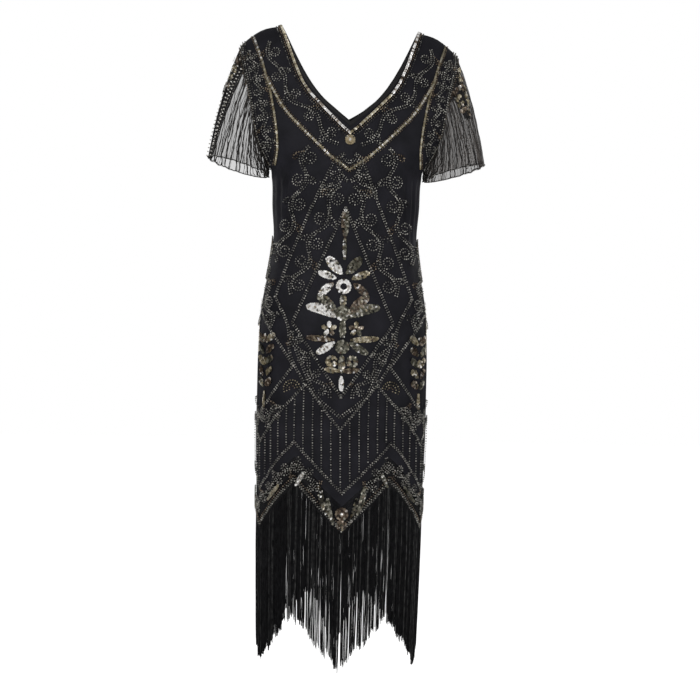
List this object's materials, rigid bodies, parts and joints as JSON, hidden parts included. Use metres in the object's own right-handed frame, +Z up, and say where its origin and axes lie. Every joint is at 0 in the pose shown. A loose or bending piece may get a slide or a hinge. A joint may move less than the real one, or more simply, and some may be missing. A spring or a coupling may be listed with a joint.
{
  "type": "flapper dress",
  "caption": "Straight hollow dress in its worn form, with V necklines, sheer flutter sleeves, beaded net over a black lining, a zigzag hem and a long hem fringe.",
  "frame": {"origin": "midway between the two neck points of the shoulder seams, where the wearer's shoulders carry the dress", "axes": "+Z up along the wearer's spine, -Y out of the dress's front, +X towards the wearer's left sleeve"},
  "size_m": [0.5164, 0.2367, 1.1744],
  "materials": {
    "beaded_net": "black net with small beads and sequins",
    "black_lining": "plain black crepe",
    "sleeve_net": "sheer gathered net",
    "gold_sequins": "gold sequins and glass beads",
    "fringe_thread": "black silky thread"
  },
  "bodies": {
    "root": {"front_panel": "beaded_net", "back_panel": "beaded_net", "front_lining": "black_lining", "back_lining": "black_lining", "front_neck_trim": "gold_sequins", "back_neck_trim": "gold_sequins", "front_fringe": "fringe_thread", "back_fringe": "fringe_thread", "sleeve_left": "sleeve_net", "sleeve_right": "sleeve_net", "medallion": "gold_sequins"}
  },
  "joints": []
}
